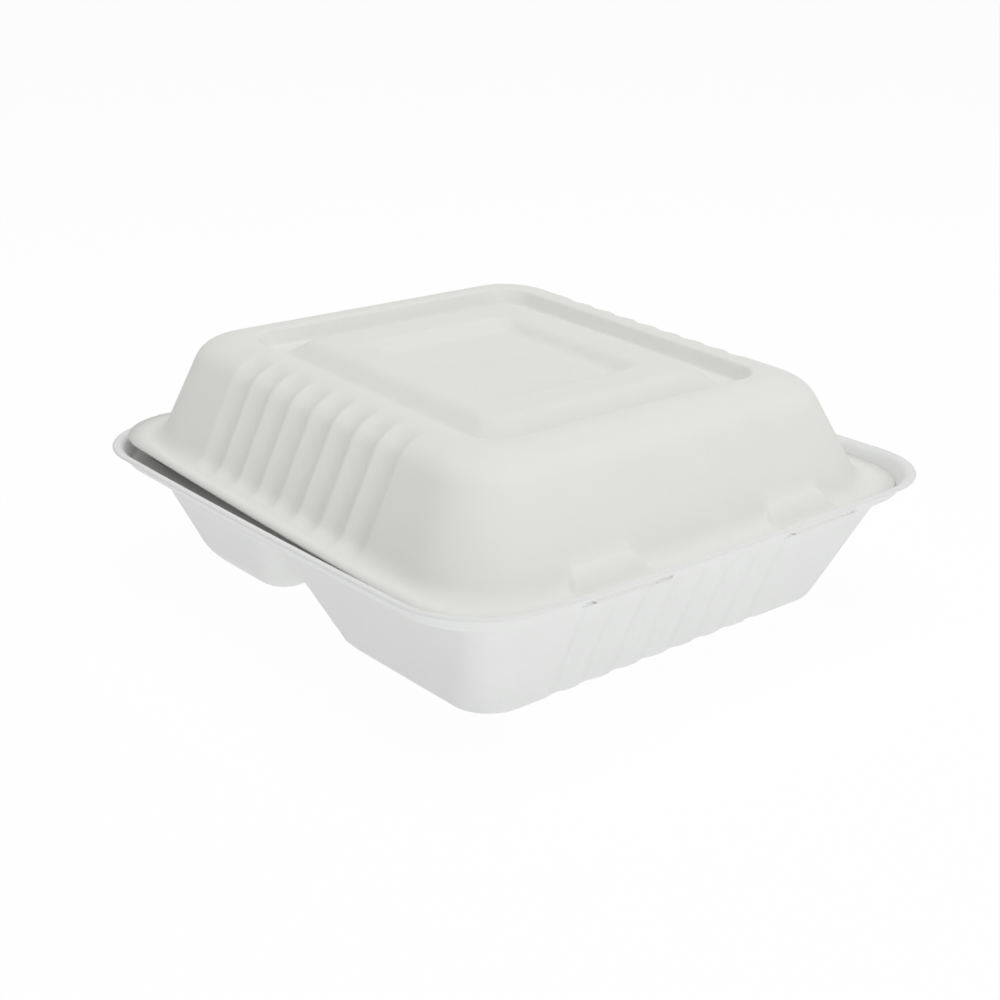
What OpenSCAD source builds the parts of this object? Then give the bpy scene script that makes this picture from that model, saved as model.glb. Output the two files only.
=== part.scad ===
// Three-compartment clamshell container, moulded from sugar-cane pulp.
// Millimetres. +Z is up, the lock edge faces -Y, the hinge is on +Y.
// The origin is on the table, under the middle of the tray.

/* [Rim] */
// Outer width of the rim, along the hinge
rim_w = 228; // [210:1:250]
// Outer depth of the rim, from the lock edge to the hinge
rim_d = 231; // [212:1:250]
// Height of the rim above the table
rim_h = 50; // [46:0.5:56]
// Outer corner radius of the rim
rim_r = 32; // [28:1:38]
// How far the middle of the lock edge bows out
front_bow = 2; // [0:0.1:4]
// How far the middle of each side edge bows out
side_bow = 0.9; // [0:0.1:3]
// Height of the upstanding lip above the ledge
lip_h = 6; // [5:0.5:9]
// Width of the rim along the sides, from the tray's wall to the outer edge
rim_band = 16.7; // [14:0.1:18]
// The same width along the lock edge
front_band = 11.7; // [11:0.1:16]
// The same width along the hinge
rear_band = 15; // [13:0.5:18]
// How far the locks and flutes sit off the middle, negative to the left
front_shift = -4; // [-5:0.5:5]

/* [Tray] */
// Thickness of the moulded pulp
wall = 1; // [0.8:0.05:1.3]
// Width of the tray's underside, with its side walls drawn down to the table
floor_w = 165; // [158:1:174]
// Distance of the front wall's foot from the middle
floor_front = 86; // [82:0.1:90]
// Distance of the rear wall's foot from the middle
floor_rear = 86; // [80:0.1:88]
// Corner radius of the walls at the table
floor_r = 14.7; // [12:0.1:20]
// Corner radius of the walls under the ledge
ledge_r = 10.6; // [8:0.2:20]
// Radius where the large compartment's walls turn into its floor
floor_fillet = 4.5; // [3.5:0.5:9]
// Narrowing of the two small compartments on their outer sides
small_inset = 1.7; // [0:0.1:4]
// Radius where the small compartments' walls turn into their floors
small_fillet = 17.5; // [9:0.5:19]

/* [Dividers] */
// Height of the folds that part the compartments
divider_h = 31; // [26:1:34]
// Distance of the cross fold's crest behind the middle
divider_y = 17; // [8:1:24]
// Width of each crest
crest = 3; // [2:0.5:5]
// Run of the cross fold's front slope
slope_front = 22.5; // [18:0.5:28]
// Run of the cross fold's rear slope
slope_rear = 18.5; // [14:0.5:22]
// Run of the middle fold's two slopes
slope_mid = 17; // [12:1:22]
// Radius of the large compartment's corners beside the cross fold
divider_r = 10.5; // [8:0.5:16]
// Radius of the small compartments' corners beside a fold
small_r = 8.5; // [7:0.5:14]

/* [Front flutes] */
// Number of flutes in the front wall
flutes = 8; // [4:1:9]
// Distance from flute to flute
flute_pitch = 13.3; // [11:0.1:14]
// Depth of a flute
flute_depth = 2.2; // [1:0.1:2.6]
// Width of a flute
flute_w = 7; // [5:0.5:9]

/* [Lid] */
// Height of the lid's top, measured with the lid level
lid_h = 83.2; // [78:0.1:90]
// Width of the lid across its shoulder
lid_w = 164.8; // [158:0.1:170]
// Distance of the lid's front shoulder from the middle
lid_front = 82.4; // [78:0.1:86]
// Distance of the lid's rear shoulder from the middle
lid_rear = 94.4; // [90:0.1:98]
// Run of the slope that leads from the shoulder to the top
shoulder_run = 10.5; // [8:0.1:12]
// Drop of that slope
shoulder_drop = 4; // [2:0.1:6]
// Radius of the shoulder
shoulder_r = 12.5; // [3:0.5:13]
// Radius between that slope and the top
top_round = 28; // [3:1:28]
// Corner radius of the lid at its shoulder
lid_r = 21; // [18:0.5:26]
// Corner radius of the lid's top
top_r = 14; // [11:0.5:18]
// Distance of the side wall's foot outside the shoulder
lid_spread = 15.9; // [12:0.1:17]
// Corner radius of the lid wall at its foot
lid_foot_r = 29; // [24:1:32]
// Distance of the front wall's foot from the middle
lid_foot_front = 101; // [96:0.5:103]
// Distance of the rear wall's foot from the middle
lid_foot_rear = 104; // [100:0.5:105]
// Width of the sweep that turns the lid's wall into its flange
foot_sweep = 6.2; // [4:0.1:6.4]
// Gap between the lid's flange and the lip
flange_gap = 1.5; // [1:0.1:3]
// Angle by which the closed lid stands up at the hinge
lid_lift = 2.2; // [1.8:0.1:2.6]

/* [Lid top] */
// Half width of the sunk band that runs round the lid's top
band_x = 65; // [60:0.5:68]
// Half depth of the sunk band
band_y = 71; // [66:0.5:74]
// Width of the sunk band, to the edge of the ridge inside it
band_w = 14; // [12:0.5:18]
// Depth of the sunk band
band_depth = 4.3; // [2:0.1:5]
// Corner radius of the sunk band
band_r = 12; // [10:0.5:14]
// Run of the soft slope from the ridge down into the band
ridge_run = 11.3; // [5:0.1:12]
// Drop of the ridge under the lid's top
ridge_down = 0.5; // [0:0.1:1]
// Half width of the shallow middle panel
panel_x = 34.7; // [28:0.1:38]
// Half depth of the shallow middle panel
panel_y = 38.5; // [32:0.5:44]
// Depth of the middle panel
panel_depth = 3.9; // [2:0.1:5]
// Run of the slope round the middle panel
panel_run = 5.2; // [3:0.1:8]

/* [Side ribs] */
// Number of ribs on each side wall of the lid
ribs = 9; // [5:1:9]
// Distance from rib to rib
rib_pitch = 12.45; // [10:0.05:13]
// Distance of the middle rib behind the tray's middle
rib_y = 5; // [-4:0.5:8]
// Depth of the hollows between the ribs
rib_h = 2; // [1:0.1:2.4]

/* [Locks] */
// Distance of each lock from the middle of the lock edge
lock_x = 45.5; // [38:0.5:50]
// Length of a slot in the lip
slot_w = 37; // [30:0.5:40]
// Height of a slot
slot_h = 1.6; // [1.6:0.1:2.4]
// Width of a tab on the lid
tab_w = 27; // [20:0.5:32]
// Width of the blister behind a tab, at its foot
blister_w = 34; // [28:0.5:38]
// Height of a blister above the flange
blister_h = 9.5; // [6:0.5:12]

/* [Hinge] */
// Length of the hinge between its two notches
hinge_w = 166; // [140:1:170]
// Gap left between the tray's edge and the lid's hinge strip
hinge_gap = 0.3; // [0.2:0.05:0.5]

/* [Hidden] */
pulp = "#EDEBE4";
corner_steps = 5;
play = 0.3;
ledge_z = rim_h - lip_h;
wall_top_w = rim_w - 2 * rim_band;
wall_top_front = rim_d / 2 - front_band;
wall_top_rear = rim_d / 2 - rear_band;
hinge_y = rim_d / 2;
hinge_z = rim_h + hinge_gap / 2;
crest_under = divider_h - wall;
bead_up = 0.6;
notch_r = 1.6;
band_run = 2.7;
tab_reach = 4.5;

// Slopes of the walls, as run over rise
side_slope = (wall_top_w - floor_w) / 2 / ledge_z;
front_slope = (wall_top_front - floor_front) / ledge_z;
rear_slope = (wall_top_rear - floor_rear) / ledge_z;

// Corner radius of the tray's walls at a height
function corner_at(z) = floor_r + (ledge_r - floor_r) * z / ledge_z;

// Height of a curve that rounds a floor into a wall, and the wall above it
function wall_at(foot, slope, z, r) =
    let (batter = atan(slope), back = r * tan((90 - batter) / 2))
    z < r * (1 - sin(batter)) ? foot - back + r * sin(acos(1 - max(z, 0) / r)) : foot + slope * z;

// The same wall measured on its inner face, one thickness in
function inner_at(foot, slope, z, r) =
    let (batter = atan(slope))
    wall_at(foot - wall / cos(batter) + wall * slope, slope, z - wall, r - wall);

// Depth of a flute at a distance from its middle line
function flute_at(x) =
    let (near = [for (k = [0 : flutes - 1]) abs(x - front_shift - (k - (flutes - 1) / 2) * flute_pitch)])
    min(near) < flute_w / 2 ? flute_depth * (1 - min(near) / (flute_w / 2)) : 0;

// Places along the front wall where its outline bends
flute_x = [for (k = [0 : flutes - 1], e = [-0.5, 0, 0.5])
    front_shift + (k - (flutes - 1) / 2) * flute_pitch + e * flute_w];

// Push of the lid's side at a place along it: nothing on a rib, inwards in the hollows between two
function rib_at(y) =
    let (s = (y - rib_y) / rib_pitch + (ribs - 1) / 2)
    abs(y - rib_y) > (ribs - 1) / 2 * rib_pitch ? 0 : -rib_h * abs(sin(180 * s));

// Places along the lid's side where its outline bends
rib_stops = [for (k = [0 : ribs - 2], e = [0, 0.2, 0.5, 0.8]) rib_y + (k - (ribs - 1) / 2 + e) * rib_pitch];
rib_places = concat(rib_stops, [rib_y + (ribs - 1) / 2 * rib_pitch]);

// One corner's arc, from angle a over a quarter turn
function arc(cx, cy, r, a) =
    [for (k = [0 : corner_steps]) let (t = a + 90 * k / corner_steps) [cx + r * cos(t), cy + r * sin(t)]];

// Outline of a rounded box: sides [left, right, front, rear] as distances out from the middle,
// corner radii [front, rear, and rear left where it differs],
// and extra points [place, push outwards] along the front and the sides
function outline(s, r, front = [], side = [], rear = []) =
    concat(
        [for (p = front) [p[0], -s[2] - p[1]]],
        arc(s[1] - r[0], -s[2] + r[0], r[0], -90),
        [for (p = side) [s[1] + p[1], p[0]]],
        arc(s[1] - r[1], s[3] - r[1], r[1], 0),
        [for (k = [len(rear) - 1 : -1 : 0]) [rear[k][0], s[3] + rear[k][1]]],
        arc(-s[0] + r[len(r) - 1], s[3] - r[len(r) - 1], r[len(r) - 1], 90),
        [for (k = [len(side) - 1 : -1 : 0]) [-s[0] - side[k][1], side[k][0]]],
        arc(-s[0] + r[0], -s[2] + r[0], r[0], 180)
    );

// A ring of points at one height
function ring(points, z) = [for (p = points) [p[0], p[1], z]];

// A closed solid through a list of rings, each with the same number of points
module loft(rings) {
    n = len(rings[0]);
    m = len(rings);
    polyhedron(
        points = [for (r = rings) each r],
        faces = concat(
            [[for (k = [0 : n - 1]) k]],
            [for (i = [0 : m - 2], k = [0 : n - 1]) [i * n + k, (i + 1) * n + k, i * n + (k + 1) % n]],
            [for (i = [0 : m - 2], k = [0 : n - 1])
                [(i + 1) * n + k, (i + 1) * n + (k + 1) % n, i * n + (k + 1) % n]],
            [[for (k = [n - 1 : -1 : 0]) (m - 1) * n + k]]
        ),
        convexity = 10
    );
}

// Share of the front bow at a place along an edge
function bow_at(p, half, bow) = bow * (1 - pow(p / half, 2));
bow_stops = [-0.66, -0.33, 0, 0.33, 0.66];

// Tray wall with its flutes, at one height: inset is measured in from the outer face
function wall_ring(z, inset = 0) =
    let (
        up = z / ledge_z,
        fade = min(1, max(0, (ledge_z - 4 - z) / 8)),
        x = floor_w / 2 + side_slope * z - inset,
        half = rim_w / 2 - rim_r
    )
    ring(outline(
        [x, x, floor_front + front_slope * z - inset, floor_rear + rear_slope * z - inset],
        [for (k = [0, 1]) corner_at(z) - inset],
        [for (p = flute_x) [p, up * bow_at(p, half, front_bow) - fade * flute_at(p)]],
        [for (p = bow_stops) [p * half, up * side_bow * bow_at(p, 1, 1)]]
    ), z);

// Rim outline at a distance in from its outer edge
function rim_ring(inset, z, bow = 1) =
    let (half = rim_w / 2 - rim_r)
    ring(outline(
        [rim_w / 2 - inset, rim_w / 2 - inset, rim_d / 2 - inset, rim_d / 2 - inset],
        [for (k = [0, 1]) rim_r - inset * 0.8],
        [for (p = flute_x) [p, bow * bow_at(p, half, front_bow)]],
        [for (p = bow_stops) [p * half, bow * side_bow * bow_at(p, 1, 1)]]
    ), z);

// Sides of the large compartment at a height, on its outer or inner face
function large_sides(z, inner) =
    let (
        r = floor_fillet,
        slope = slope_front / crest_under,
        foot = divider_y - crest / 2 - slope_front,
        x = inner ? inner_at(floor_w / 2, side_slope, z, r) : wall_at(floor_w / 2, side_slope, z, r),
        f = inner ? inner_at(floor_front, front_slope, z, r) : wall_at(floor_front, front_slope, z, r),
        b = inner ? inner_at(foot, slope, z, r) : wall_at(foot, slope, z, r)
    )
    [x, x, f, b];

function large_ring(z, inner = false) =
    let (
        up = z / ledge_z,
        s = large_sides(z, inner),
        in = inner ? wall : 0,
        half = rim_w / 2 - rim_r,
        fold = floor_w / 2 + side_slope * z - s[0]
    )
    ring(outline(
        s,
        [corner_at(z) - in - fold * 0.5, divider_r - in],
        [for (p = flute_x) [p, up * bow_at(p, half, front_bow) - flute_at(p)]],
        [for (p = bow_stops) if (p < 0) [p * half, up * side_bow * bow_at(p, 1, 1)]]
    ), z);

// Sides of one small compartment, the one on the right
function small_ring(z, inner = false) =
    let (
        r = small_fillet,
        side = (side_slope * crest_under + small_inset) / crest_under,
        mid = slope_mid / crest_under,
        cross = slope_rear / crest_under,
        mid_foot = -crest / 2 - slope_mid,
        cross_foot = -divider_y - crest / 2 - slope_rear,
        outer_foot = floor_w / 2 - small_inset,
        feet = [[mid_foot, mid], [outer_foot, side], [cross_foot, cross], [floor_rear, rear_slope]],
        s = [for (w = feet)
            inner ? inner_at(w[0], w[1], z, r) : wall_at(w[0], w[1], z, r)]
    )
    let (in = inner ? wall : 0)
    ring(outline(s, [small_r - in, corner_at(z) - in, small_r - in]), z);

// Heights of the rings that round a compartment's floor into its walls
function fillet_heights(r, base) = [for (a = [0, 22, 45, 70]) base + r * (1 - cos(a))];

module large_bowl(inner) {
    r = inner ? floor_fillet - wall : floor_fillet;
    top = inner ? divider_h : crest_under;
    loft([for (z = concat(fillet_heights(r, inner ? wall : 0), [top])) large_ring(z, inner)]);
}

module small_bowl(inner) {
    r = inner ? small_fillet - wall : small_fillet;
    top = inner ? divider_h : crest_under;
    hull() loft([for (z = concat(fillet_heights(r, inner ? wall : 0), [top])) small_ring(z, inner)]);
}

module bowls(inner) {
    large_bowl(inner);
    small_bowl(inner);
    mirror([1, 0, 0]) small_bowl(inner);
}

// Everything that the tray's outer face encloses
module tray_outside() {
    loft([
        wall_ring(crest_under),
        wall_ring(ledge_z - 5),
        wall_ring(ledge_z - wall - 1.4, -0.2),
        wall_ring(ledge_z - wall, -2.2),
        rim_ring(6.4, ledge_z - wall),
        rim_ring(4.8, ledge_z),
        rim_ring(3, rim_h - 1.8),
        rim_ring(2, rim_h - 1),
        rim_ring(0.3, rim_h - 0.8),
        rim_ring(0, rim_h - 0.4),
        rim_ring(0.4, rim_h)
    ]);
    bowls(false);
}

// Everything that the tray's inner face encloses
module tray_inside() {
    loft([
        wall_ring(divider_h, wall),
        wall_ring(ledge_z - 4, wall),
        wall_ring(ledge_z - 1.2, wall * 0.8),
        wall_ring(ledge_z, -0.8),
        rim_ring(6.8, ledge_z),
        rim_ring(5.7, ledge_z + 0.9),
        rim_ring(4.1, rim_h - 1.7),
        rim_ring(3.5, rim_h - 0.7),
        rim_ring(2.4, rim_h),
        rim_ring(1.4, rim_h + 1)
    ]);
    bowls(true);
}

// A bead along a fold's crest, from point a to point b
module bead(a, b) {
    hull() {
        translate(a) sphere(r = crest / 2, $fn = 12);
        translate(b) sphere(r = crest / 2, $fn = 12);
    }
}

// The two beads, clipped to the tray
module beads() {
    z = divider_h - crest / 2 + bead_up;
    reach = floor_w / 2 + side_slope * divider_h - crest;
    bead([-reach, divider_y, z], [reach, divider_y, z]);
    bead([0, divider_y, z], [0, floor_rear + rear_slope * divider_h - crest, z]);
}

// One slot through the lip, with round ends
module slot() {
    y = -rim_d / 2 - front_bow;
    hull() for (end = [-1, 1])
        translate([end * (slot_w - slot_h) / 2, y, ledge_z + slot_h / 2])
            rotate([-90, 0, 0]) cylinder(d = slot_h, h = 9, $fn = 12);
}

// A notch at one end of the hinge, through the flared edge of the rim
module hinge_notch() {
    translate([hinge_w / 2 + notch_r, rim_d / 2, ledge_z + wall]) cylinder(r = notch_r, h = lip_h, $fn = 16);
}

// The base tray: three compartments, ledge, lip, slots and hinge edge in one moulding
module base_tray() {
    color(pulp)
    translate([0, front_bow / 2, 0])
    union() {
        difference() {
            tray_outside();
            tray_inside();
            for (side = [-1, 1]) {
                translate([front_shift + side * lock_x, 0, 0]) slot();
                mirror([side < 0 ? 1 : 0, 0, 0]) hinge_notch();
            }
        }
        intersection() {
            tray_outside();
            beads();
        }
    }
}

// Lid heights, with the lid level
flange_z = ledge_z + play;
flange_top = flange_z + wall;
lid_mid = (lid_rear - lid_front) / 2;

// Lean of the side walls and tilt of the slope above the shoulder, with half the turn between them
shoulder_z = lid_h - shoulder_drop;
lean = atan(lid_spread / (shoulder_z - flange_top));
tilt = atan(shoulder_drop / shoulder_run);
turn = (90 - lean - tilt) / 2;

// Middles of the two roundings, as a distance out from the shoulder and a height
low_reach = shoulder_r / cos(turn);
low_round = [-low_reach * cos(lean + turn), shoulder_z - low_reach * sin(lean + turn)];
high_round = [-shoulder_run - top_round * tan(tilt / 2), lid_h - top_round];

// Rings from the top of the wall to the flat top: middle, radius, angle and share of the ribs
shoulder_steps = [
    [low_round, shoulder_r, lean, 1],
    [low_round, shoulder_r, lean + turn * 0.7, 1],
    [low_round, shoulder_r, lean + turn * 1.4, 0.9],
    [high_round, top_round, 90 - tilt, 0.6],
    [high_round, top_round, 90 - tilt / 2, 0.15],
    [high_round, top_round, 90, 0]
];

function shoulder_sides(s, inset) =
    let (d = s[0][0] + (s[1] - inset) * cos(s[2]))
    [lid_w / 2 + d, lid_w / 2 + d, lid_front + d, lid_rear + d];

function shoulder_height(s, inset) = s[0][1] + (s[1] - inset) * sin(s[2]);

function shoulder_corner(s, inset) =
    lid_r + (s[0][0] + (s[1] - inset) * cos(s[2])) * (lid_r - top_r) / shoulder_run;

function lid_top_ring(s, inset = 0) =
    ring(outline(
        shoulder_sides(s, inset),
        [for (k = [0, 1]) shoulder_corner(s, inset)],
        [for (p = bow_stops) [p * lock_x, 0]],
        [for (y = rib_places) [y, s[3] * rib_at(y)]]
    ), shoulder_height(s, inset));

// Lid wall at a height between its foot and its shoulder
function lid_wall_ring(z, rib, spread = 0, inset = 0) =
    let (
        top_z = shoulder_height(shoulder_steps[0], 0),
        share = (top_z - z) / (top_z - flange_top),
        top = shoulder_sides(shoulder_steps[0], 0),
        foot = [lid_w / 2 + lid_spread, lid_w / 2 + lid_spread, lid_foot_front, lid_foot_rear],
        s = [for (i = [0 : 3]) top[i] + (foot[i] - top[i]) * share + spread - inset],
        r = shoulder_corner(shoulder_steps[0], 0)
    )
    ring(outline(
        s,
        [for (k = [0, 1]) r + (lid_foot_r - r) * share - inset - spread * 0.3],
        [for (p = bow_stops) [p * lock_x, 0]],
        [for (y = rib_places) [y, rib * rib_at(y)]]
    ), z);

module lid_outside() {
    loft(concat(
        [
            lid_wall_ring(flange_z, 0, foot_sweep),
            lid_wall_ring(flange_top, 0, foot_sweep),
            lid_wall_ring(flange_top + 0.8, 0.4, foot_sweep * 0.47),
            lid_wall_ring(flange_top + 2.5, 0.8, foot_sweep * 0.16),
            lid_wall_ring(flange_top + 6, 1)
        ],
        [for (s = shoulder_steps) lid_top_ring(s)]
    ));
}

module lid_inside() {
    in = wall / cos(lean);
    loft(concat(
        [
            lid_wall_ring(flange_z - 1, 0, foot_sweep, in),
            lid_wall_ring(flange_z, 0, foot_sweep, in),
            lid_wall_ring(flange_top - 0.1, 0.4, foot_sweep * 0.4, in),
            lid_wall_ring(flange_top + 2, 0.8, foot_sweep * 0.14, in),
            lid_wall_ring(flange_top + 6, 1, 0, in)
        ],
        [for (s = shoulder_steps) lid_top_ring(s, wall)]
    ));
}

// A rounded box about the middle of the lid's top, tapering from one height to another
module taper(x, y, r, z, x2, y2, r2, z2) {
    translate([0, lid_mid, 0])
        hull() loft([
            ring(outline([x, x, y, y], [r, r]), z),
            ring(outline([x2, x2, y2, y2], [r2, r2]), z2)
        ]);
}

// The sunk band's outer edge, the square ridge inside it and the shallow middle panel.
// With under set to one thickness they are the same forms on the lid's inner face.
module band_cut(under = 0) {
    x = band_x + under * 0.6;
    y = band_y + under * 0.6;
    taper(
        x - band_run, y - band_run, band_r, lid_h - band_depth - under,
        x + band_run * 0.2, y + band_run * 0.2, band_r, lid_h + band_depth * 0.2
    );
}

module ridge(under = 0) {
    x = band_x - band_w;
    y = band_y - band_w;
    drop = band_depth - ridge_down;
    run = ridge_run * (drop + wall) / drop;
    taper(
        x + run - under * 0.2, y + run - under * 0.2, band_r, lid_h - band_depth - wall - under,
        x - under * 0.2, y - under * 0.2, band_r - 4, lid_h - ridge_down - under
    );
}

module panel_cut(under = 0) {
    x = panel_x + under * 0.6;
    y = panel_y + under * 0.6;
    top = lid_h - ridge_down;
    taper(
        x - panel_run, y - panel_run, 5, top - panel_depth - under,
        x, y, 8, top + 0.01
    );
}

// A hollow blister on the front wall, behind one tab
module blister(inner) {
    in = inner ? wall : 0;
    foot_y = -(rim_d / 2 - 5.7 - flange_gap) + 1;
    crown = flange_top + blister_h - 3.6;
    hull() {
        translate([-blister_w / 2 + in, foot_y + in, inner ? flange_z - 1 : flange_z])
            cube([blister_w - 2 * in, 8, wall + 1.6]);
        for (end = [-1, 1])
            translate([end * (blister_w * 0.36 - 3), -lid_foot_front + 6.4 + in, crown - in])
                sphere(r = 3, $fn = 20);
    }
}

// The flange that seats on the tray's ledge
module flange() {
    side = rim_w / 2 - 5.7 - flange_gap;
    half = rim_w / 2 - rim_r;
    s = [side, side, rim_d / 2 - 5.7 - flange_gap, hinge_y - 5];
    loft([for (z = [flange_z, flange_top])
        ring(outline(
            s,
            [rim_r - 7, rim_r - 7],
            [for (p = bow_stops) [p * half, bow_at(p, 1, front_bow)]],
            [for (p = bow_stops) [p * half, side_bow * bow_at(p, 1, 1)]]
        ), z)]);
}

// The lid with its flange level
module level_lid() {
    difference() {
        union() {
            difference() {
                lid_outside();
                band_cut();
            }
            ridge();
            flange();
            for (side = [-1, 1]) translate([front_shift + side * lock_x, 0, 0]) blister(false);
        }
        difference() {
            union() {
                difference() {
                    lid_inside();
                    band_cut(wall);
                }
                ridge(wall);
                for (side = [-1, 1]) translate([front_shift + side * lock_x, 0, 0]) blister(true);
            }
            panel_cut(wall);
        }
        panel_cut();
    }
}

// One tab, which reaches through a slot in the tray's lip
module tab() {
    y = -rim_d / 2 + 8.5;
    hull() {
        translate([-tab_w / 2, y, flange_z]) cube([tab_w, 1, wall]);
        for (side = [-1, 1])
            translate([side * (tab_w / 2 - 2), y - tab_reach, flange_z]) cylinder(r = 2, h = wall, $fn = 16);
    }
}

// The strip that joins the lid's flange to the tray's rear edge
module hinge_strip() {
    lift = (hinge_y - 5 + rim_d / 2) * sin(lid_lift);
    hull() {
        translate([-hinge_w / 2, hinge_y - 6, flange_z + lift]) cube([hinge_w, 1, wall]);
        translate([-hinge_w / 2, hinge_y - play - wall, rim_h + hinge_gap]) cube([hinge_w, wall, 0.4]);
    }
}

// The lid: dome, ribs, locks, flange and hinge strip, closed and standing up at the hinge
module lid() {
    color(pulp)
    translate([0, front_bow / 2, 0])
    union() {
        translate([0, -rim_d / 2 + 7, flange_z])
            rotate([lid_lift, 0, 0])
                translate([0, rim_d / 2 - 7, -flange_z]) level_lid();
        for (side = [-1, 1]) translate([front_shift + side * lock_x, 0, 0]) tab();
        hinge_strip();
    }
}

base_tray();
lid();
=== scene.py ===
import math

import bpy
import numpy as np
from mathutils import Matrix


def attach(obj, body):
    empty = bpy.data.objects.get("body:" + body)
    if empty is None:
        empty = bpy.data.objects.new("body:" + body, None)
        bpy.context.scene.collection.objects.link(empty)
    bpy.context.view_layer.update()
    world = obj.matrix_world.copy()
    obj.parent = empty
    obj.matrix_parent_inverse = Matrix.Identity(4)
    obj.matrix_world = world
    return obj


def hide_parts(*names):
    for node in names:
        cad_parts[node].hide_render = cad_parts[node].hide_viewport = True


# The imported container: a base tray and a lid, one moulding folded at the rear edge.
# Everything below is in its frame: metres, the locks face -Y, the hinge is on +Y.
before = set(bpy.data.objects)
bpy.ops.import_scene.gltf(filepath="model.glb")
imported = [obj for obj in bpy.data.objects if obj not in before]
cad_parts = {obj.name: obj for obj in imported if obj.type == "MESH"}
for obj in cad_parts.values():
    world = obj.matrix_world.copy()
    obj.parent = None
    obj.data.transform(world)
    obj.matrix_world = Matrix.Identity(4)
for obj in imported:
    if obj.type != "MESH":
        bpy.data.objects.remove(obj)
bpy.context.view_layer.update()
mm = 0.001

# The camera stands in front and to the left of the closed box, a little above it.
# Its place, lens and small shift were fitted to the outlines in the photograph.
azimuth = math.radians(-39.94)
elevation = math.radians(20.58)
roll = math.radians(0.53)
aim = np.array([-3.83, 3.88, 30.94])
camera_distance = 610.83
back = np.array([
    math.sin(azimuth) * math.cos(elevation),
    -math.cos(azimuth) * math.cos(elevation),
    math.sin(elevation),
])
level = np.array([math.cos(azimuth), math.sin(azimuth), 0.0])
upward = np.cross(back, level)
right = level * math.cos(roll) + upward * math.sin(roll)
up = upward * math.cos(roll) - level * math.sin(roll)
camera_data = bpy.data.cameras.new("camera")
camera_data.lens = 58.573
camera_data.sensor_width = 36.0
camera_data.shift_x = 0.0062
camera_data.shift_y = 0.0010
camera_data.clip_start = 0.01
camera = bpy.data.objects.new("camera", camera_data)
bpy.context.scene.collection.objects.link(camera)
place = (aim + back * camera_distance) * mm
camera.matrix_world = Matrix([
    [right[0], up[0], back[0], place[0]],
    [right[1], up[1], back[1], place[1]],
    [right[2], up[2], back[2], place[2]],
    [0.0, 0.0, 0.0, 1.0],
])
bpy.context.scene.camera = camera

# The base tray: sugar-cane fibre pressed wet between two dies and dried hot, 1 mm thick.
# One large compartment in front, two small ones behind, a ledge and an upstanding lip.
# The sheet is drawn by its outer face and given its thickness inwards.
pulp_thickness = 1.0
tray_shift = 1.0
rim_half = 114.0
rim_depth = 115.5
rim_height = 50.0
rim_corner = 32.0
front_bow = 2.0
side_bow = 0.9
ledge_height = 44.0
foot_half = 82.5
foot_front = 86.0
foot_rear = 86.0
foot_corner = 14.7
ledge_corner = 10.6
wall_lean_side = 14.8 / 44.0
wall_lean_front = 17.8 / 44.0
wall_lean_rear = 14.5 / 44.0
floor_fillet = 4.5
small_fillet = 17.5
compartment_depth = 30.0
large_slope = 22.5
large_corner_rear = 10.5
small_inset = 1.7
small_slope_middle = 17.0
small_slope_front = 18.5
small_corner = 8.5
bow_reach = 84.0
fold_height = 31.0
fold_place = 17.0
fold_half = 1.5
flute_count = 8
flute_pitch = 13.3
flute_depth = 2.2
flute_half = 5.0
front_shift = -4.0
arc_points = 20


def wall_corner(height):
    """Corner radius of the tray's walls at a height."""
    return foot_corner + (ledge_corner - foot_corner) * height / ledge_height


def flute_push(x, height):
    """How far the front wall steps back at x, in its rounded upright flutes, shallow at both ends."""
    place = (x - front_shift) / flute_pitch + (flute_count - 1) / 2
    nearest = np.clip(np.round(place), 0, flute_count - 1)
    away = np.clip(np.abs(place - nearest) * flute_pitch / flute_half, 0, 1)
    ends = np.clip((ledge_height - 3 - height) / 9, 0, 1) * (0.4 + 0.6 * np.clip(height / 14, 0, 1))
    return flute_depth * ends * (0.5 + 0.5 * np.cos(math.pi * away)) ** 0.8


def stretch_between(low, high, marks, spare):
    """Points from low to high: the marks, squeezed if need be, and spare points before and after them."""
    marks = np.asarray(marks, float)
    middle = np.clip((marks[0] + marks[-1]) / 2, low + 0.2 * (high - low), high - 0.2 * (high - low))
    reach_up = max(marks[-1] - middle, 1e-6)
    reach_down = max(middle - marks[0], 1e-6)
    room = min(1.0, 0.94 * (high - middle) / reach_up, 0.94 * (middle - low) / reach_down)
    marks = middle + (marks - middle) * room
    before = np.linspace(low, marks[0], spare + 1, endpoint=False)[1:]
    after = np.linspace(marks[-1], high, spare + 1)[1:-1]
    return np.concatenate([before, marks, after])


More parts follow.
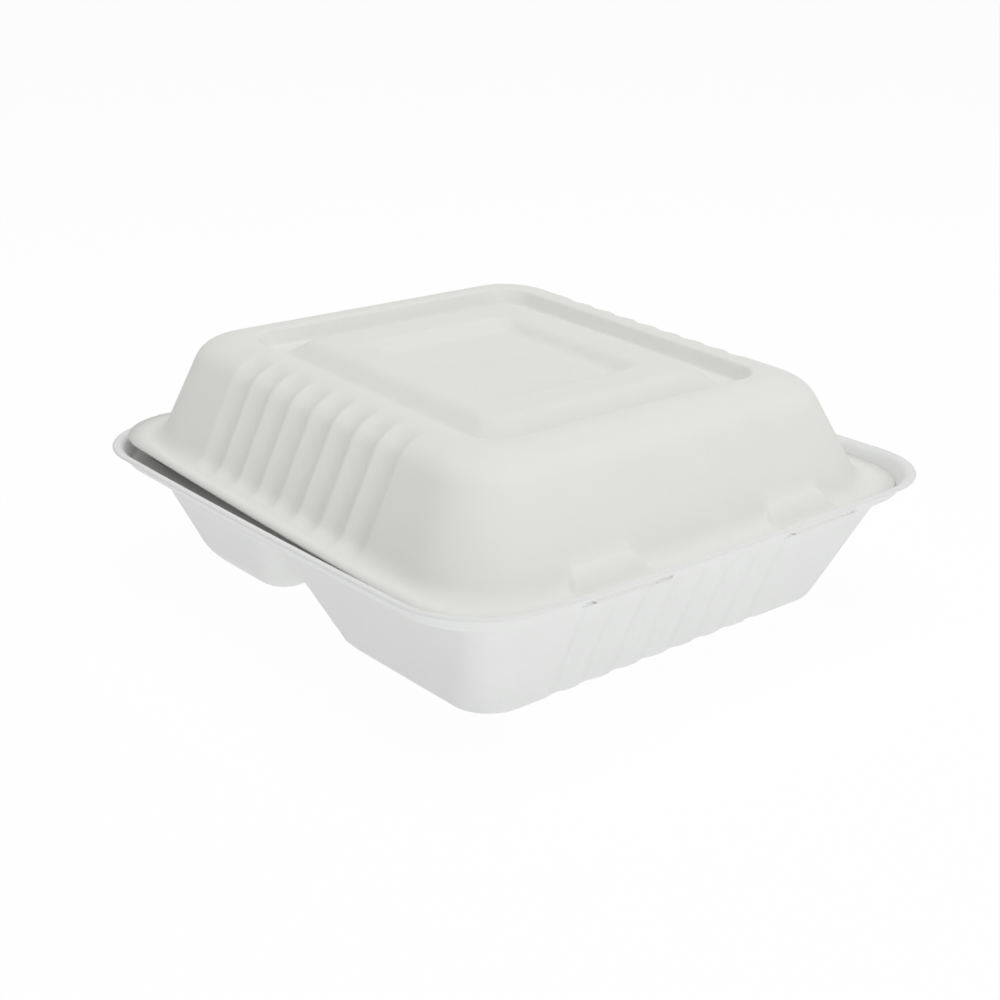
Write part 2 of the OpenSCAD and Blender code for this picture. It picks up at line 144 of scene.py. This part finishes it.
def rounded_outline(sides, corners, marks, bow=(0.0, 0.0), spare=5):
    """A rounded box as one ring of points, counter-clockwise from the front edge's left end.
    sides: left, right, front and rear; corners: front right, rear right, rear left, front left."""
    left, right, front, rear = sides
    ring = []
    edges = [
        (np.array([-left, -front]), np.array([right, -front]), 0, 1.0),
        (np.array([right, -front]), np.array([right, rear]), 1, 1.0),
        (np.array([right, rear]), np.array([-left, rear]), 0, -1.0),
        (np.array([-left, rear]), np.array([-left, -front]), 1, -1.0),
    ]
    for k, (start, end, axis, direction) in enumerate(edges):
        radius_start = corners[(k - 1) % 4]
        radius_end = corners[k]
        low = start[axis] * direction + radius_start
        high = end[axis] * direction - radius_end
        edge_marks = np.sort(np.asarray(marks[k]) * direction)
        along = stretch_between(low, high, edge_marks, spare)
        share = (2 * along - low - high) / (high - low)
        push = (bow[0], bow[1], 0.0, bow[1])[k] * (1 - share ** 2)
        line = np.zeros((len(along), 2))
        line[:, axis] = along * direction
        outward = [(0, -1), (1, 0), (0, 1), (-1, 0)][k]
        line[:, 1 - axis] = start[1 - axis]
        line += np.array(outward) * push[:, None]
        ring.append(line)
        turn = math.radians([-90, 0, 90, 180][k]) + np.linspace(0, math.pi / 2, arc_points)
        inward = [(-1, 1), (-1, -1), (1, -1), (1, 1)][k]
        centre = end + np.array(inward) * radius_end
        arc = [centre[0] + radius_end * np.cos(turn), centre[1] + radius_end * np.sin(turn)]
        ring.append(np.stack(arc, 1))
    return np.concatenate(ring)


flute_marks = front_shift + np.arange(-(flute_count / 2), flute_count / 2 + 0.01, 1 / 12) * flute_pitch
fold_marks_side = fold_place + np.array([
    -44, -37, -30, -25, -20, -16, -12, -9, -6, -4, -3, -2, -1,
    0, 1, 2, 3, 4, 6, 9, 12, 15, 19, 24, 30, 37,
])
fold_marks_rear = np.array([
    -50, -42, -35, -28, -22, -18, -14, -10, -7, -5, -4, -3, -2, -1,
    0, 1, 2, 3, 4, 5, 7, 10, 14, 18, 22, 28, 35, 42, 50,
])
tray_marks = [flute_marks, fold_marks_side, fold_marks_rear, fold_marks_side]


def wall_outline(height):
    """The tray's whole wall at one height, with its flutes."""
    up = height / ledge_height
    corner = wall_corner(height)
    ring = rounded_outline(
        [foot_half + wall_lean_side * height] * 2
        + [foot_front + wall_lean_front * height, foot_rear + wall_lean_rear * height],
        [corner] * 4, tray_marks, (front_bow * up, side_bow * up))
    front = ring[:, 1] < -60
    ring[front, 1] += flute_push(ring[front, 0], height)
    return ring


def bow_at(along):
    """Share of a wall's outward bow at a place along it."""
    return 1 - (np.clip(along, -bow_reach, bow_reach) / bow_reach) ** 2


def rounded_distance(x, y, sides, corners):
    """Distance outside a rounded box; negative inside it."""
    middle_x = (sides[1] - sides[0]) / 2
    middle_y = (sides[3] - sides[2]) / 2
    half_x = (sides[1] + sides[0]) / 2
    half_y = (sides[3] + sides[2]) / 2
    u = x - middle_x
    v = y - middle_y
    radius = np.where(u > 0, np.where(v > 0, corners[1], corners[0]), np.where(v > 0, corners[2], corners[3]))
    qx = np.abs(u) - half_x + radius
    qy = np.abs(v) - half_y + radius
    return np.hypot(np.maximum(qx, 0), np.maximum(qy, 0)) + np.minimum(np.maximum(qx, qy), 0) - radius


def reach(foot, lean, height, fillet):
    """Where a leaning wall stands at a height, rounded into the floor by a fillet."""
    batter = math.atan(lean)
    setback = fillet * math.tan((math.pi / 2 - batter) / 2)
    turn = fillet * (1 - math.sin(batter))
    left = 1 - np.clip(height, 0, fillet) / fillet
    curved = foot - setback + fillet * np.sqrt(np.maximum(1 - left ** 2, 0))
    return np.where(height < turn, curved, foot + lean * height)


def bowl_height(x, y, inside):
    """Height of a bowl's outer face over a point: the lowest level at which the point is inside."""
    low = np.zeros_like(x)
    high = np.full_like(x, 60.0)
    for _ in range(26):
        middle = (low + high) / 2
        covered = inside(x, y, middle) <= 0
        high = np.where(covered, middle, high)
        low = np.where(covered, low, middle)
    return np.where(inside(x, y, np.zeros_like(x)) <= 0, 0.0, high)


def large_inside(x, y, z):
    """Distance outside the large compartment's outer face at a height."""
    up = z / ledge_height
    straight = foot_half + wall_lean_side * z
    rounded = reach(foot_half, wall_lean_side, z, floor_fillet)
    side = rounded + side_bow * up * bow_at(y)
    front = reach(foot_front, wall_lean_front, z, floor_fillet)
    front = front + front_bow * up * bow_at(x) - flute_push(x, z)
    rear = reach(fold_place - fold_half - large_slope, large_slope / compartment_depth, z, floor_fillet)
    corner = wall_corner(z) - 0.5 * (straight - rounded)
    corners = [corner, large_corner_rear, large_corner_rear, corner]
    return rounded_distance(x, y, [side, side, front, rear], corners)


def small_inside(x, y, z):
    """Distance outside a small compartment's outer face at a height, for both by symmetry."""
    lean = (compartment_depth * wall_lean_side + small_inset) / compartment_depth
    outer = reach(foot_half - small_inset, lean, np.minimum(z, compartment_depth), small_fillet)
    outer = outer + np.maximum(z - compartment_depth, 0) * wall_lean_side
    rear = reach(foot_rear, wall_lean_rear, z, small_fillet)
    middle = reach(-fold_half - small_slope_middle, small_slope_middle / compartment_depth, z, small_fillet)
    cross_foot = -fold_place - fold_half - small_slope_front
    cross = reach(cross_foot, small_slope_front / compartment_depth, z, small_fillet)
    room = np.minimum((outer + middle) / 2, (rear + cross) / 2) * 0.98
    corner = np.minimum(wall_corner(z), room)
    inner = np.minimum(small_corner, room)
    return rounded_distance(np.abs(x), y, [middle, outer, cross, rear], [inner, corner, inner, inner])


def whole_inside(x, y, z):
    """Distance outside the tray's whole wall at a height."""
    up = z / ledge_height
    side = foot_half + wall_lean_side * z + side_bow * up * bow_at(y)
    front = foot_front + wall_lean_front * z + front_bow * up * bow_at(x)
    front = front - flute_push(x, z)
    return rounded_distance(x, y, [side, side, front, foot_rear + wall_lean_rear * z], [wall_corner(z)] * 4)


def soft_lower(a, b, width):
    """The lower of two heights, with the meeting edge rounded over."""
    h = np.clip(0.5 + 0.5 * (b - a) / width, 0, 1)
    return b * (1 - h) + a * h - width * h * (1 - h)


def tray_floor(x, y):
    """The compartments' outer face over any point inside the wall."""
    bowls = np.minimum(bowl_height(x, y, large_inside), bowl_height(x, y, small_inside))
    folds = np.full_like(x, fold_height - pulp_thickness + 0.4)
    return np.maximum(soft_lower(bowls, folds, 3.2), bowl_height(x, y, whole_inside))


# The rings below the folds' tops close in on the point where the folds cross.
rings = []
fold_cross = np.array([0.0, fold_place])
wall_levels = [30, 28, 26, 24, 22, 20, 18, 16, 14, 12, 10, 8.5, 7, 5.6, 4.2, 3.0, 2.0, 1.2, 0.6, 0.2]
for level_z in wall_levels:
    plan = wall_outline(level_z)
    curved = reach(foot_half, wall_lean_side, np.array(level_z), floor_fillet)
    shrink = float(foot_half + wall_lean_side * level_z - curved)
    plan = fold_cross + (plan - fold_cross) * (1 - shrink / 88)
    rings.append(plan)
last = rings[-1]
steps = 40
for k in range(1, steps + 1):
    share = 1 - k / steps
    rings.append(fold_cross + (last - fold_cross) * max(share, 0.002))
plan = np.stack(rings)
heights = tray_floor(plan[..., 0].ravel(), plan[..., 1].ravel()).reshape(plan.shape[:2])
low_part = np.concatenate([plan, heights[..., None]], 2)[::-1]


def rim_outline(inset, height):
    """The rim's outline, set in from its edge, at one height."""
    edge = rounded_outline(
        [rim_half - inset] * 2 + [rim_depth - inset] * 2,
        [rim_corner - 0.8 * inset] * 4, tray_marks, (front_bow, side_bow))
    return np.concatenate([edge, np.full((len(edge), 1), height)], 1)


def round_stations(stations, steps=7):
    """Rings through a list of (ring, rounding in mm): every rounded station becomes a short curve."""
    out = []
    for k, (ring, rounding) in enumerate(stations):
        if rounding <= 0 or k in (0, len(stations) - 1):
            out.append(ring)
            continue
        before = stations[k - 1][0] - ring
        after = stations[k + 1][0] - ring
        limits = [0.49 if stations[n][1] > 0 else 0.93 for n in (k - 1, k + 1)]
        near = np.minimum(rounding / np.linalg.norm(before, axis=1, keepdims=True), limits[0])
        far = np.minimum(rounding / np.linalg.norm(after, axis=1, keepdims=True), limits[1])
        a = ring + before * near
        b = ring + after * far
        for t in np.linspace(0, 1, steps):
            out.append(a * (1 - t) ** 2 + 2 * ring * t * (1 - t) + b * t ** 2)
    return out


def wall_ring(height):
    """The wall's outline as points in space."""
    return np.concatenate([wall_outline(height), np.full((len(last), 1), height)], 1)


wall_rings = [wall_ring(z) for z in (31.5, 33, 34.5, 36, 37.5)]
rim_rings = round_stations([
    (wall_rings[-1], 0),
    (wall_ring(43.0), 2.6),
    (rim_outline(6.2, 43.0), 1.4),
    (rim_outline(2.6, 49.0), 1.3),
    (rim_outline(0.25, 49.1), 0),
])
tray_outer = np.concatenate([low_part, np.stack(wall_rings[:-1]), np.stack(rim_rings)])


def sheet_normals(rings):
    """Normals of a ring surface, pointing up and inwards for a dish."""
    along = np.roll(rings, -1, 1) - np.roll(rings, 1, 1)
    across = np.zeros_like(rings)
    across[1:-1] = rings[2:] - rings[:-2]
    across[0] = rings[1] - rings[0]
    across[-1] = rings[-1] - rings[-2]
    n = np.cross(across, along)
    length = np.linalg.norm(n, axis=2, keepdims=True)
    return n / np.maximum(length, 1e-9)


tray_normals = sheet_normals(tray_outer)
tray_normals[0] = [0, 0, 1]
tray_inner = tray_outer + tray_normals * pulp_thickness
edge_middle = (tray_outer[-1] + tray_inner[-1]) / 2
edge_run = tray_outer[-1] - tray_outer[-2]
edge_out = edge_middle + edge_run / np.linalg.norm(edge_run, axis=1, keepdims=True) * 0.25
tray_rings = np.concatenate([tray_outer, edge_out[None], tray_inner[::-1]])


def mesh_from_rings(name, rings):
    """A closed surface through rings, the first and last of which are tiny or closed by one face."""
    count, around = rings.shape[:2]
    vertices = rings.reshape(-1, 3)
    i = np.arange(count - 1)[:, None] * around
    j = np.arange(around)[None, :]
    k = (j + 1) % around
    faces = np.stack([i + j, i + k, i + around + k, i + around + j], 2).reshape(-1, 4)
    mesh = bpy.data.meshes.new(name)
    cap_low = [list(range(around))[::-1]]
    cap_high = [list(range((count - 1) * around, count * around))]
    mesh.from_pydata((vertices * mm).tolist(), [], faces.tolist() + cap_low + cap_high)
    mesh.validate()
    mesh.shade_smooth()
    piece = bpy.data.objects.new(name, mesh)
    bpy.context.scene.collection.objects.link(piece)
    return piece


tray_rings[..., 1] += tray_shift
tray = mesh_from_rings("base_tray_pulp", tray_rings)

# Two slots are punched through the front lip for the lid's tabs.
# They have round ends and lie right above the ledge.
lock_place = 45.2
slot_half = 18.5
slot_height = 1.6
for side in (-1, 1):
    bpy.ops.mesh.primitive_cylinder_add(vertices=24, radius=slot_height / 2 * mm, depth=12 * mm)
    cutter = bpy.context.object
    cutter.data.transform(cutter.matrix_world)
    for vertex in cutter.data.vertices:
        x, y, z = vertex.co
        vertex.co = (x + math.copysign((slot_half - slot_height / 2) * mm, x), -z, y)
        vertex.co.x += side * lock_place * mm
        vertex.co.y += (tray_shift - rim_depth) * mm
        vertex.co.z += (ledge_height + slot_height / 2) * mm
    cut = tray.modifiers.new("slot", "BOOLEAN")
    cut.solver = "EXACT"
    cut.object = cutter
    bpy.context.view_layer.objects.active = tray
    bpy.ops.object.modifier_apply(modifier="slot")
    bpy.data.objects.remove(cutter)


def pulp(name, colour):
    """Dry moulded pulp: matt, with a fine fibre grain and faint cloudy variation in its colour."""
    material = bpy.data.materials.new(name)
    material.use_nodes = True
    nodes = material.node_tree.nodes
    links = material.node_tree.links
    shader = nodes["Principled BSDF"]
    shader.inputs["Roughness"].default_value = 0.82
    shader.inputs["Specular IOR Level"].default_value = 0.25
    place = nodes.new("ShaderNodeTexCoord")
    cloud = nodes.new("ShaderNodeTexNoise")
    cloud.inputs["Scale"].default_value = 60.0
    cloud.inputs["Detail"].default_value = 4.0
    links.new(place.outputs["Object"], cloud.inputs["Vector"])
    ramp = nodes.new("ShaderNodeValToRGB")
    ramp.color_ramp.elements[0].position = 0.3
    ramp.color_ramp.elements[0].color = (*[c * 0.985 for c in colour], 1)
    ramp.color_ramp.elements[1].position = 0.7
    ramp.color_ramp.elements[1].color = (*colour, 1)
    links.new(cloud.outputs["Fac"], ramp.inputs["Fac"])
    links.new(ramp.outputs["Color"], shader.inputs["Base Color"])
    grain = nodes.new("ShaderNodeTexNoise")
    grain.inputs["Scale"].default_value = 900.0
    grain.inputs["Detail"].default_value = 3.0
    links.new(place.outputs["Object"], grain.inputs["Vector"])
    bump = nodes.new("ShaderNodeBump")
    bump.inputs["Strength"].default_value = 0.25
    bump.inputs["Distance"].default_value = 0.0002
    links.new(grain.outputs["Fac"], bump.inputs["Height"])
    links.new(bump.outputs["Normal"], shader.inputs["Normal"])
    return material


tray_pulp = pulp("tray_pulp", (0.82, 0.83, 0.82))
tray.data.materials.append(tray_pulp)
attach(tray, "tray")
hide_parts("base_tray")

# The lid: the other half of the moulding, a dome with a flange that seats on the tray's ledge.
# Hollows between nine narrow ribs line each side wall, and a sunk band, a square ridge and a
# shallow panel stiffen its top. It isn't pressed home at the rear, so it stands up towards the hinge.
lid_rise = math.radians(2.2)
flange_low = 44.3
flange_top = 45.3
flange_rear = 110.5
flange_setback = 7.0
rib_count = 9
rib_pitch = 12.45
rib_middle = 5.0
rib_depth = 2.2
rib_swell = 1.15
rib_rounding = 0.008
rib_reach = (rib_count - 1) / 2
rib_marks = rib_middle + np.arange(-rib_reach - 0.25, rib_reach + 0.26, 1 / 12) * rib_pitch
front_marks = np.concatenate([
    np.arange(-67, -23, 0.8), np.arange(-22, 22.1, 4), -np.arange(-67, -23, 0.8)[::-1],
])
lid_marks = [front_marks, rib_marks, np.linspace(-60, 60, 30), rib_marks]


def lid_ring(half_w, front, rear, height, corner, bow=0.0):
    """The lid's outline at one height."""
    bows = (bow * front_bow, bow * side_bow)
    plan = rounded_outline([half_w] * 2 + [front, rear], [corner] * 4, lid_marks, bows, 6)
    return np.concatenate([plan, np.full((len(plan), 1), height)], 1)


def top_ring(half_x, height, corner):
    """An outline of the lid's top, which is 12 mm deeper than wide about a middle 6 mm to the rear."""
    return lid_ring(half_x, half_x, half_x + 12, height, corner)


def between(a, b, shares):
    """Plain rings between two outlines."""
    return [(a * (1 - s) + b * s, 0) for s in shares]


flange_edge = lid_ring(106.8, 108.3, flange_rear, flange_top, 25.0, 1.0)
foot = lid_ring(98.3, 101.0, 104.0, flange_top, 29.0)
shoulder = top_ring(82.4, 79.25, 21.0)
lid_stations = [(flange_edge, 0), (foot, 5.5)]
lid_stations += between(foot, shoulder, np.linspace(0.26, 0.82, 22))
lid_stations += [
    (shoulder, 5.3),
    (top_ring(71.85, 83.05, 14.5), 5.6),
    (top_ring(65.0, 83.05, 12.5), 1.2),
    (top_ring(61.8, 77.0, 11.0), 1.5),
    (top_ring(56.2, 77.0, 10.0), 2.0),
    (top_ring(48.8, 82.8, 8.5), 3.6),
    (lid_ring(34.9, 32.7, 44.7, 82.8, 7.5), 2.6),
    (lid_ring(29.3, 27.1, 39.1, 78.6, 6.0), 2.4),
    (lid_ring(20.0, 18.0, 30.0, 78.7, 5.0), 0),
    (lid_ring(10.0, 8.0, 20.0, 78.8, 4.0), 0),
    (lid_ring(1.5, -4.5, 7.5, 78.8, 0.7), 0),
]
lid_outer = np.stack(round_stations(lid_stations, 9))


def rib_hollow(y):
    """Depth of the rounded hollows between the narrow ribs, at a place along the side."""
    place = (y - rib_middle) / rib_pitch + rib_reach
    wave = np.sqrt(np.sin(math.pi * place) ** 2 + rib_rounding) - math.sqrt(rib_rounding)
    inside = np.abs(y - rib_middle) < rib_reach * rib_pitch
    return np.where(inside, rib_depth * rib_swell * wave, 0.0)


lid_normals = -sheet_normals(lid_outer)
x, y, z = lid_outer[..., 0], lid_outer[..., 1], lid_outer[..., 2]
fade = np.clip((z - 45.4) / 2.6, 0, 1) * np.clip((np.abs(x) - 71.0) / 10, 0, 1)
fade = fade * fade * (3 - 2 * fade)
lid_outer = lid_outer - lid_normals * (rib_hollow(y) * fade)[..., None]

# Behind each tab the front wall steps out in a blister with sloping sides.
# Its foot is on the flange, and its top leans back into the wall.
blister_half = 16.5
blister_top_half = 13.5
blister_rise = 6.0
blister_foot = 106.2
blister_slope = 1.15
crown_front = 99.0
crown_slope = 0.5
x, y, z = lid_outer[..., 0], lid_outer[..., 1], lid_outer[..., 2]
for side in (-1, 1):
    across = np.abs(x - side * lock_place)
    flank = (blister_half - across) / (blister_half - blister_top_half) * blister_rise
    face = (y + blister_foot) * blister_slope
    crown = blister_rise + (y + crown_front) * crown_slope
    rise = soft_lower(soft_lower(flank, face, 2.5), crown, 4.0)
    near_front = (y < -80) & (z < 70)
    lifted = -soft_lower(-z, -flange_top - rise, 1.2)
    lifted = np.where(rise > -3, lifted, z)
    z = np.where(near_front, lifted, z)
lid_outer[..., 2] = z

lid_normals = -sheet_normals(lid_outer)
lid_normals[-1] = [0, 0, 1]
lid_inner = lid_outer - lid_normals * pulp_thickness
lid_rings = np.concatenate([lid_inner[::-1], lid_outer])


def stand_up(points):
    """The lid's rise about the front edge of its flange."""
    out = points.copy()
    y0, z0 = -rim_depth + flange_setback, flange_low
    y, z = points[..., 1] - y0, points[..., 2] - z0
    out[..., 1] = y0 + y * math.cos(lid_rise) - z * math.sin(lid_rise) + tray_shift
    out[..., 2] = z0 + y * math.sin(lid_rise) + z * math.cos(lid_rise)
    return out


lid = mesh_from_rings("lid_pulp", stand_up(lid_rings))
lid_pulp = pulp("lid_pulp", (0.82, 0.82, 0.79))
lid.data.materials.append(lid_pulp)
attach(lid, "cover")
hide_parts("lid")

# The tabs reach from the flange through the slots, and the rest of the flange's rear edge
# runs down to the crease as one strip. Both are part of the lid's moulding.


def slab(name, outline, low, high):
    """A flat piece with a rounded edge: an outline in plan between two heights."""
    outline = np.asarray(outline, float)
    centre = outline.mean(0)
    rings = []
    steps = ((60, low), (0.35, low), (0.0, low + 0.3), (0.0, high - 0.3), (0.35, high), (60, high))
    for inset, height in steps:
        away = outline - centre
        length = np.linalg.norm(away, axis=1, keepdims=True)
        plan = centre + away * np.maximum(1 - inset / length, 0.01)
        rings.append(np.concatenate([plan, np.full((len(plan), 1), height)], 1))
    return mesh_from_rings(name, np.stack(rings))


tab_half = 13.5
tab_tip = rim_depth - 3.9
tab_root = 104.0
tab_corner = 2.0
tab_clearance = 0.06
for side, name in ((-1, "left"), (1, "right")):
    turn = np.linspace(0, math.pi / 2, 8)
    corner = [
        (tab_half - tab_corner + tab_corner * math.sin(t), -(tab_tip - tab_corner + tab_corner * math.cos(t)))
        for t in turn
    ]
    plan = [(-px, py) for px, py in corner[::-1]] + corner + [(tab_half, -tab_root), (-tab_half, -tab_root)]
    plan = [(px + side * lock_place, py + tray_shift) for px, py in plan]
    low, high = ledge_height + tab_clearance, ledge_height + slot_height - tab_clearance
    tab = slab("lid_tab_" + name, plan, low, high)
    tab.data.materials.append(lid_pulp)
    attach(tab, "cover")

hinge_half = 83.0
flange_rise = (flange_rear + rim_depth - flange_setback) * math.sin(lid_rise)
strip_low = flange_low + flange_rise
strip_profile = [
    (109.5, strip_low - 0.1), (112.0, strip_low - 0.55),
    (114.0, rim_height + 1.4), (114.7, rim_height + 0.3),
]
strip_top = [(115.2, rim_height + 0.3), (115.2, rim_height + 1.0), (114.6, rim_height + 1.9),
             (112.2, strip_low + 0.45), (109.5, strip_low + 0.9)]
section = np.array(strip_profile + strip_top)
stops = np.linspace(-hinge_half, hinge_half, 40)
strip = np.stack([
    np.stack([np.full(len(section), stop), section[:, 0] + tray_shift, section[:, 1]], 1) for stop in stops
])
hinge_strip = mesh_from_rings("lid_hinge_strip", strip)
hinge_strip.data.materials.append(lid_pulp)
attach(hinge_strip, "cover")

# Floor and light: a wide white table, a pale even sky, a large soft lamp above and one in front.
# To the camera the table and the sky are plain white, and the table keeps a faint soft shadow.


def seen_by_eye(nodes, links):
    """1 for camera, glossy and transmission rays, 0 for the rays that light the object."""
    seen = nodes.new("ShaderNodeLightPath")
    either = nodes.new("ShaderNodeMath")
    either.operation = "MAXIMUM"
    links.new(seen.outputs["Is Camera Ray"], either.inputs[0])
    links.new(seen.outputs["Is Glossy Ray"], either.inputs[1])
    any_ray = nodes.new("ShaderNodeMath")
    any_ray.operation = "MAXIMUM"
    links.new(either.outputs[0], any_ray.inputs[0])
    links.new(seen.outputs["Is Transmission Ray"], any_ray.inputs[1])
    return any_ray.outputs[0]


floor_mesh = bpy.data.meshes.new("floor")
floor_mesh.from_pydata([(-15, -15, 0), (15, -15, 0), (15, 15, 0), (-15, 15, 0)], [], [(0, 1, 2, 3)])
floor = bpy.data.objects.new("floor", floor_mesh)
bpy.context.scene.collection.objects.link(floor)
paper = bpy.data.materials.new("white_table")
paper.use_nodes = True
nodes = paper.node_tree.nodes
links = paper.node_tree.links
matt = nodes["Principled BSDF"]
matt.inputs["Base Color"].default_value = (0.3, 0.3, 0.3, 1)
matt.inputs["Roughness"].default_value = 0.9
matt.inputs["Specular IOR Level"].default_value = 0.0
matt.inputs["Emission Color"].default_value = (1, 1, 1, 1)
matt.inputs["Emission Strength"].default_value = 0.7
glow = nodes.new("ShaderNodeEmission")
glow.inputs["Strength"].default_value = 1.0
share = nodes.new("ShaderNodeMath")
share.operation = "MULTIPLY"
share.inputs[1].default_value = 0.85
links.new(seen_by_eye(nodes, links), share.inputs[0])
blend_node = nodes.new("ShaderNodeMixShader")
links.new(share.outputs[0], blend_node.inputs["Fac"])
links.new(matt.outputs["BSDF"], blend_node.inputs[1])
links.new(glow.outputs["Emission"], blend_node.inputs[2])
links.new(blend_node.outputs["Shader"], nodes["Material Output"].inputs["Surface"])
floor.data.materials.append(paper)

world = bpy.data.worlds.new("studio")
bpy.context.scene.world = world
world.use_nodes = True
nodes = world.node_tree.nodes
links = world.node_tree.links
sky = nodes["Background"]
sky.inputs["Color"].default_value = (1, 1, 1, 1)
sky.inputs["Strength"].default_value = 0.44
backdrop = nodes.new("ShaderNodeBackground")
backdrop.inputs["Color"].default_value = (1, 1, 1, 1)
backdrop.inputs["Strength"].default_value = 1.0
choose = nodes.new("ShaderNodeMixShader")
links.new(seen_by_eye(nodes, links), choose.inputs["Fac"])
links.new(sky.outputs["Background"], choose.inputs[1])
links.new(backdrop.outputs["Background"], choose.inputs[2])
links.new(choose.outputs["Shader"], nodes["World Output"].inputs["Surface"])

for name, size, energy, stand, facing in (
        ("soft_top", 1.4, 8.6, (0.1, -0.1, 1.3), (4, 4, 0)),
        ("soft_front", 1.2, 5.0, (-0.4, -1.4, 0.35), (80, 0, -15))):
    lamp_data = bpy.data.lights.new(name, "AREA")
    lamp_data.shape = "SQUARE"
    lamp_data.size = size
    lamp_data.energy = energy
    lamp = bpy.data.objects.new(name, lamp_data)
    bpy.context.scene.collection.objects.link(lamp)
    lamp.location = stand
    lamp.rotation_euler = [math.radians(angle) for angle in facing]

bpy.context.scene.view_settings.view_transform = "Standard"
